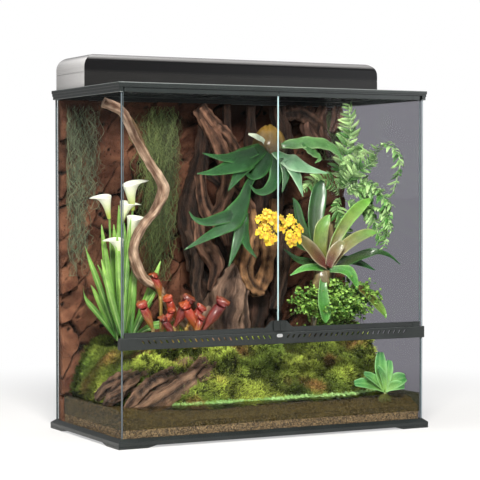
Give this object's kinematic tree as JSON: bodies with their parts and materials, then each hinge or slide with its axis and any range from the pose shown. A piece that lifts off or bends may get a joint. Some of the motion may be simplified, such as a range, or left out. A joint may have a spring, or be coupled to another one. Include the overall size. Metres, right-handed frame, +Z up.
{
  "type": "reptile terrarium",
  "caption": "Tall glass terrarium with double front doors, vent strip, screen cover and light hood, planted over a strip of shallow water.",
  "frame": {"origin": "Middle of the base frame's footprint, on the floor", "axes": "+Z up, -Y the front with the doors, +X to the right of someone who faces the doors"},
  "size_m": [0.924, 0.469, 1.01],
  "materials": {
    "frame": "satin black moulded plastic",
    "vent_plastic": "satin dark grey moulded plastic",
    "hood_plastic": "gloss black moulded plastic",
    "glass": "clear float glass with polished edges",
    "smoked_glass": "smoke-tinted float glass",
    "steel": "turned steel",
    "chrome": "polished chrome",
    "mesh_wire": "dark coated wire mesh",
    "reflector": "bright folded sheet",
    "socket_plastic": "white heat-proof moulding",
    "lamp_glass": "opal lamp tubes on a white cap",
    "rock": "coated foam rock relief",
    "gravel": "loose tan gravel",
    "water": "clear, faintly green water",
    "moss": "soft living moss",
    "driftwood": "dry weathered wood",
    "bark": "rough bark",
    "leaf": "waxy leaf",
    "pale_leaf": "thin pale leaf",
    "yellow_petal": "yellow petals with red freckles",
    "red_pitcher": "waxy red pitcher"
  },
  "bodies": {
    "tank": {"base_frame": "frame", "bottom_pane": "glass", "left_pane": "glass", "right_pane": "smoked_glass", "back_pane": "glass", "front_lower_pane": "glass", "top_frame": "frame", "rear_ledge": "frame", "vent_strip": "vent_plastic", "hinge_pins": "steel", "rock_background": "rock", "gravel_bed": "gravel", "water": "water", "moss_mounds": "moss", "driftwood_branch": "driftwood", "root_trunk": "bark", "buttress_roots": "bark", "hanging_moss": "moss", "staghorn_fern": "leaf", "orchid": "yellow_petal", "lace_ferns": "pale_leaf", "bromeliad": "leaf", "creeper": "pale_leaf", "calla_lilies": "leaf", "pitcher_plants": "red_pitcher", "water_plant": "pale_leaf"},
    "left_door": {"left_door_glass": "glass", "left_door_bottom_rail": "vent_plastic", "left_door_keeper": "vent_plastic", "left_door_top_rail": "frame", "left_door_handle": "vent_plastic"},
    "right_door": {"right_door_glass": "glass", "right_door_bottom_rail": "vent_plastic", "right_door_keeper": "vent_plastic", "right_door_top_rail": "frame", "right_door_handle": "vent_plastic"},
    "lock": {"lock_knob": "chrome", "lock_tongue": "steel"},
    "screen_cover": {"screen_frame": "frame", "screen_mesh": "mesh_wire"},
    "hood": {"hood_shell": "hood_plastic", "hood_reflector": "reflector", "lamp_sockets": "socket_plastic", "lamps": "lamp_glass", "switch_housing": "hood_plastic", "power_gland": "hood_plastic"},
    "hood_switch": {"hood_switch": "hood_plastic"},
    "left_inlet": {"left_inlet_slide": "frame"},
    "right_inlet": {"right_inlet_slide": "frame"}
  },
  "joints": [
    {"name": "left_door_hinge", "type": "hinge", "parent": "tank", "child": "left_door", "pos_m": [-0.436, -0.22, 0.59], "axis": [0, 0, -1], "range_deg": [0, 105]},
    {"name": "right_door_hinge", "type": "hinge", "parent": "tank", "child": "right_door", "pos_m": [0.436, -0.22, 0.59], "axis": [0, 0, 1], "range_deg": [0, 105]},
    {"name": "lock_turn", "type": "hinge", "parent": "tank", "child": "lock", "pos_m": [0, -0.2225, 0.27], "axis": [0, -1, 0], "range_deg": [0, 90]},
    {"name": "screen_lift", "type": "slide", "parent": "tank", "child": "screen_cover", "axis": [0, 0, 1], "range_m": [0, 0.08]},
    {"name": "hood_lift", "type": "slide", "parent": "screen_cover", "child": "hood", "axis": [0, 0, 1], "range_m": [0, 0.12]},
    {"name": "switch_rock", "type": "hinge", "parent": "hood", "child": "hood_switch", "pos_m": [0.36, 0.2105, 0.972], "axis": [-1, 0, 0], "range_deg": [0, 12]},
    {"name": "left_inlet_pull", "type": "slide", "parent": "tank", "child": "left_inlet", "axis": [-1, 0, 0], "range_m": [0, 0.046]},
    {"name": "right_inlet_pull", "type": "slide", "parent": "tank", "child": "right_inlet", "axis": [1, 0, 0], "range_m": [0, 0.046]}
  ]
}
